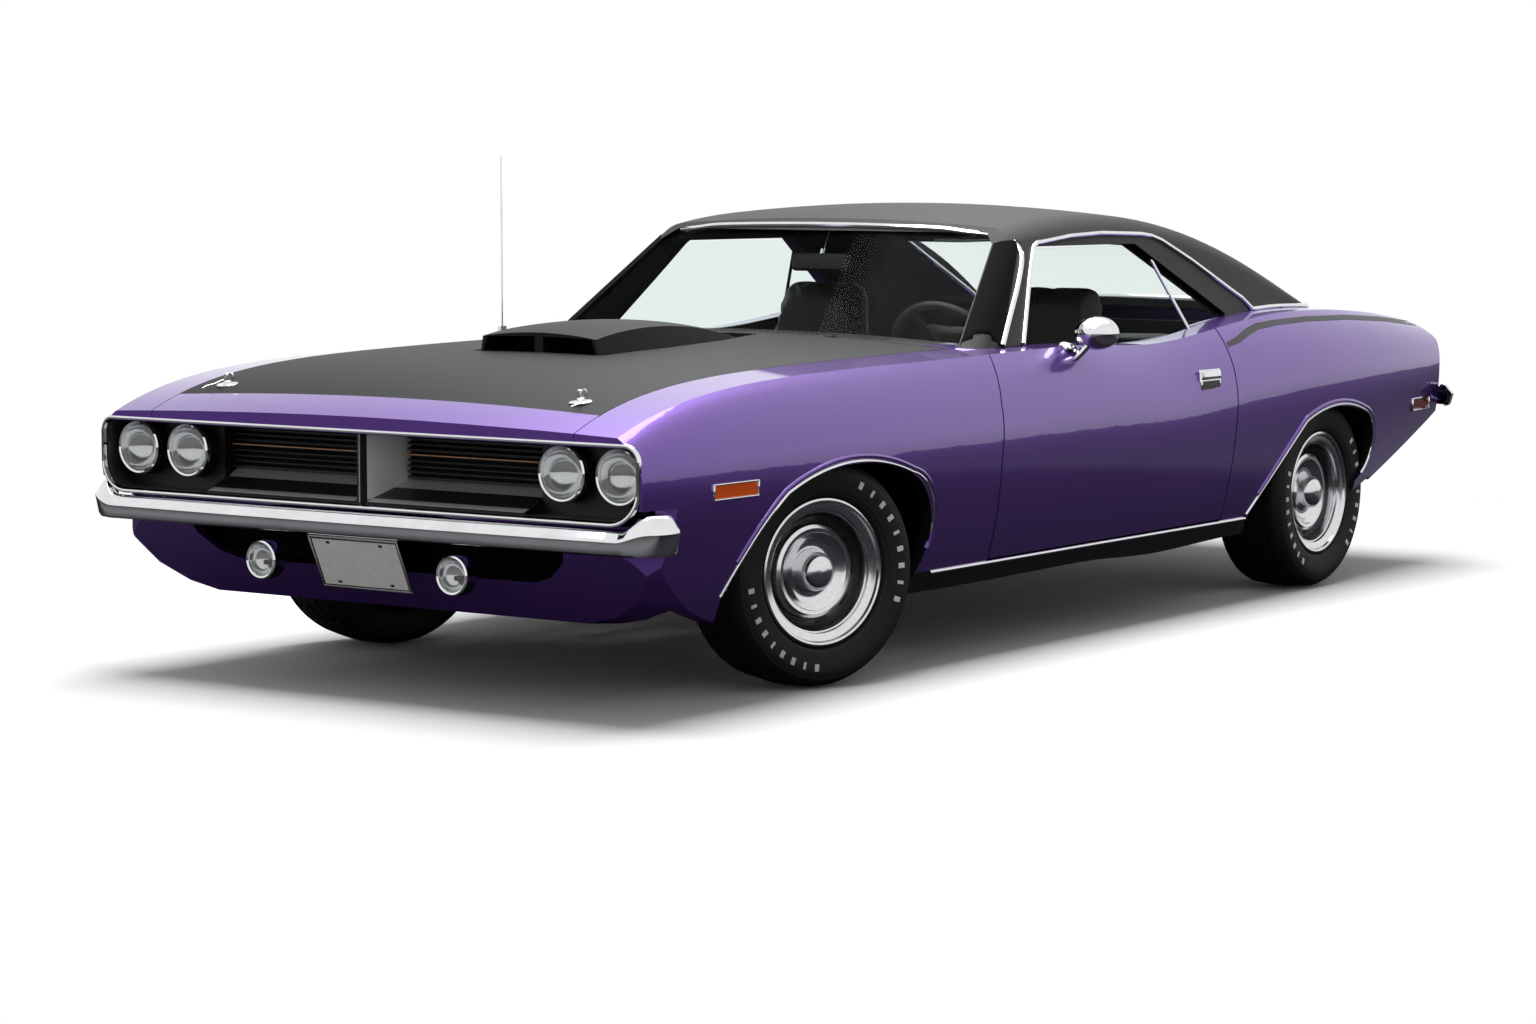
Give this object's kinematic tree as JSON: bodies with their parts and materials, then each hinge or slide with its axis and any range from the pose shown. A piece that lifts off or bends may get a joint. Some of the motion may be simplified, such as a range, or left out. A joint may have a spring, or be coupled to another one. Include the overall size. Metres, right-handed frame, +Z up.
{
  "type": "muscle car",
  "caption": "Two-door hardtop muscle car with a shaker hood scoop, vinyl roof, slotted steel wheels, opening doors, hood and trunk lid, and steered front wheels.",
  "frame": {"origin": "on the ground under the centre of the bounding box, midway between the axles", "axes": "+X forward, +Y to the car's left, +Z up"},
  "size_m": [4.744, 1.9291, 1.4],
  "materials": {
    "body_paint": "metallic purple enamel, gloss",
    "hood_paint": "matt black enamel",
    "roof_vinyl": "black grained vinyl",
    "bright_trim": "polished chrome",
    "clear_glass": "clear toughened glass",
    "lamp_glass": "moulded lamp glass",
    "amber_lens": "amber lens",
    "red_lens": "red lens",
    "grille_black": "satin black",
    "plate_enamel": "blank pale enamel",
    "seat_trim": "black vinyl",
    "cabin_plastic": "black grained plastic",
    "floor_steel": "black primer",
    "chassis_steel": "black chassis paint",
    "engine_iron": "painted cast iron",
    "tyre_rubber": "black rubber",
    "wheel_steel": "bright steel with argent centre"
  },
  "bodies": {
    "body": {"antenna": "bright_trim", "cowl": "body_paint", "dashboard": "cabin_plastic", "engine": "engine_iron", "exhaust": "chassis_steel", "fender_left": "body_paint", "fender_right": "body_paint", "floor_pan": "floor_steel", "fog_lamps": "lamp_glass", "front_bumper": "bright_trim", "front_seats": "seat_trim", "front_structure": "floor_steel", "front_suspension": "chassis_steel", "front_valance": "body_paint", "fuel_tank": "floor_steel", "grille": "grille_black", "headlamps": "lamp_glass", "leaf_springs": "chassis_steel", "licence_plate": "plate_enamel", "quarter_glass": "clear_glass", "quarter_left": "body_paint", "quarter_right": "body_paint", "rear_axle": "chassis_steel", "rear_bumper": "bright_trim", "rear_deck": "body_paint", "rear_seat": "seat_trim", "rear_window": "clear_glass", "red_lamps": "red_lens", "rocker_panels": "grille_black", "roof": "roof_vinyl", "shaker_scoop": "hood_paint", "side_markers": "amber_lens", "steering_wheel": "cabin_plastic", "tail_panel": "body_paint", "windscreen": "clear_glass"},
    "door_left": {"door_left": "body_paint", "door_glass_left": "clear_glass", "mirror_left": "bright_trim"},
    "door_right": {"door_right": "body_paint", "door_glass_right": "clear_glass"},
    "hood": {"hood": "hood_paint"},
    "trunk_lid": {"trunk_lid": "body_paint"},
    "steer_left": {"knuckle_left": "chassis_steel"},
    "steer_right": {"knuckle_right": "chassis_steel"},
    "wheel_front_left": {"tyre_front_left": "tyre_rubber", "rim_front_left": "wheel_steel"},
    "wheel_front_right": {"tyre_front_right": "tyre_rubber", "rim_front_right": "wheel_steel"},
    "wheel_rear_left": {"tyre_rear_left": "tyre_rubber", "rim_rear_left": "wheel_steel"},
    "wheel_rear_right": {"tyre_rear_right": "tyre_rubber", "rim_rear_right": "wheel_steel"}
  },
  "joints": [
    {"name": "steering_left", "type": "hinge", "parent": "body", "child": "steer_left", "pos_m": [1.395, 0.705, 0.31], "axis": [0, 0, 1], "range_deg": [-14, 50]},
    {"name": "steering_right", "type": "hinge", "parent": "body", "child": "steer_right", "pos_m": [1.395, -0.705, 0.31], "axis": [0, 0, 1], "range_deg": [-14, 50]},
    {"name": "front_left_wheel_spin", "type": "hinge", "parent": "steer_left", "child": "wheel_front_left", "pos_m": [1.395, 0.705, 0.31], "axis": [0.309, 0.9511, 0], "continuous": true},
    {"name": "rear_left_wheel_spin", "type": "hinge", "parent": "body", "child": "wheel_rear_left", "pos_m": [-1.395, 0.76, 0.31], "axis": [0, 1, 0], "continuous": true},
    {"name": "left_door_hinge", "type": "hinge", "parent": "body", "child": "door_left", "pos_m": [0.735, 0.934, 0.55], "axis": [0, 0, -1], "range_deg": [0, 65]},
    {"name": "front_right_wheel_spin", "type": "hinge", "parent": "steer_right", "child": "wheel_front_right", "pos_m": [1.395, -0.705, 0.31], "axis": [0.309, 0.9511, 0], "continuous": true},
    {"name": "rear_right_wheel_spin", "type": "hinge", "parent": "body", "child": "wheel_rear_right", "pos_m": [-1.395, -0.76, 0.31], "axis": [0, 1, 0], "continuous": true},
    {"name": "right_door_hinge", "type": "hinge", "parent": "body", "child": "door_right", "pos_m": [0.735, -0.934, 0.55], "axis": [0, 0, 1], "range_deg": [0, 65]},
    {"name": "hood_hinge", "type": "hinge", "parent": "body", "child": "hood", "pos_m": [0.65, 0, 0.881], "axis": [0, -1, 0], "range_deg": [0, 50]},
    {"name": "trunk_hinge", "type": "hinge", "parent": "body", "child": "trunk_lid", "pos_m": [-1.7, 0, 0.902], "axis": [0, 1, 0], "range_deg": [0, 60]}
  ],
  "couplings": [
    {"joint": "steering_right", "follows": "steering_left", "ratio": 1}
  ]
}
